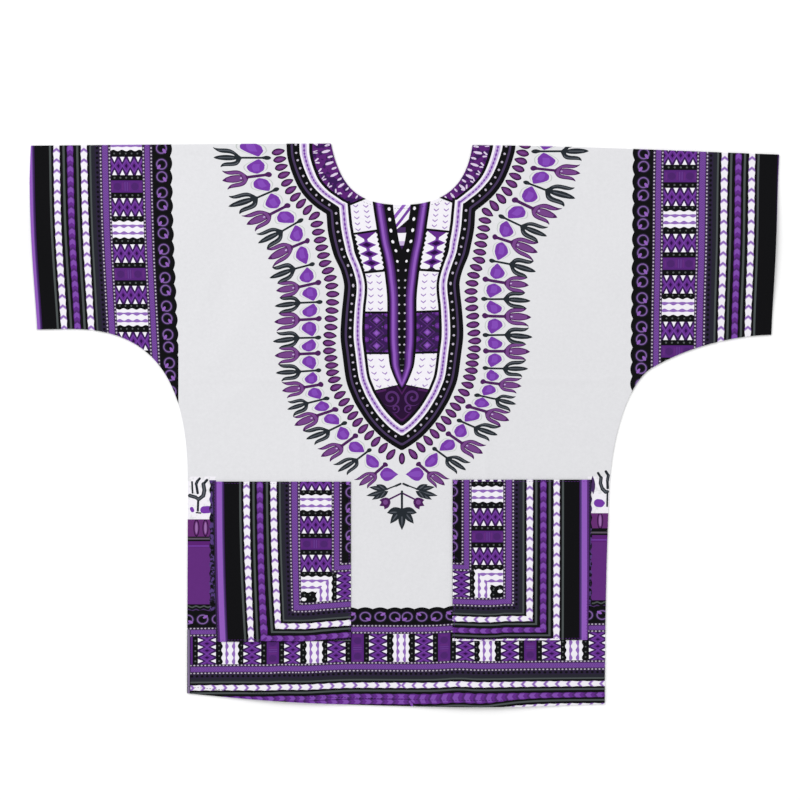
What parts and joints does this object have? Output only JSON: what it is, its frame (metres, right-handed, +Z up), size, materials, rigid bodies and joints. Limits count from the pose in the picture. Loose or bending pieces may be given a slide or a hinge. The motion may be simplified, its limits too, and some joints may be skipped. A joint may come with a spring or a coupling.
{
  "type": "dashiki shirt",
  "caption": "Loose pullover cotton shirt laid flat, with kimono sleeves cut in one with the body, a round neck and patch pockets.",
  "frame": {"origin": "middle of the garment's box, on the surface that it lies on", "axes": "+X towards the sleeve on the right of the view from above, +Y from hem to shoulders, +Z up, away from the surface"},
  "size_m": [1.0482, 0.7876, 0.0093],
  "materials": {
    "printed_cotton": "matt plain-weave cotton, white ground with purple and black print",
    "pocket_cotton": "matt plain-weave cotton, purple, black and white border print"
  },
  "bodies": {
    "root": {"back_body": "printed_cotton", "front_body": "printed_cotton", "left_pocket": "pocket_cotton", "right_pocket": "pocket_cotton"}
  },
  "joints": []
}
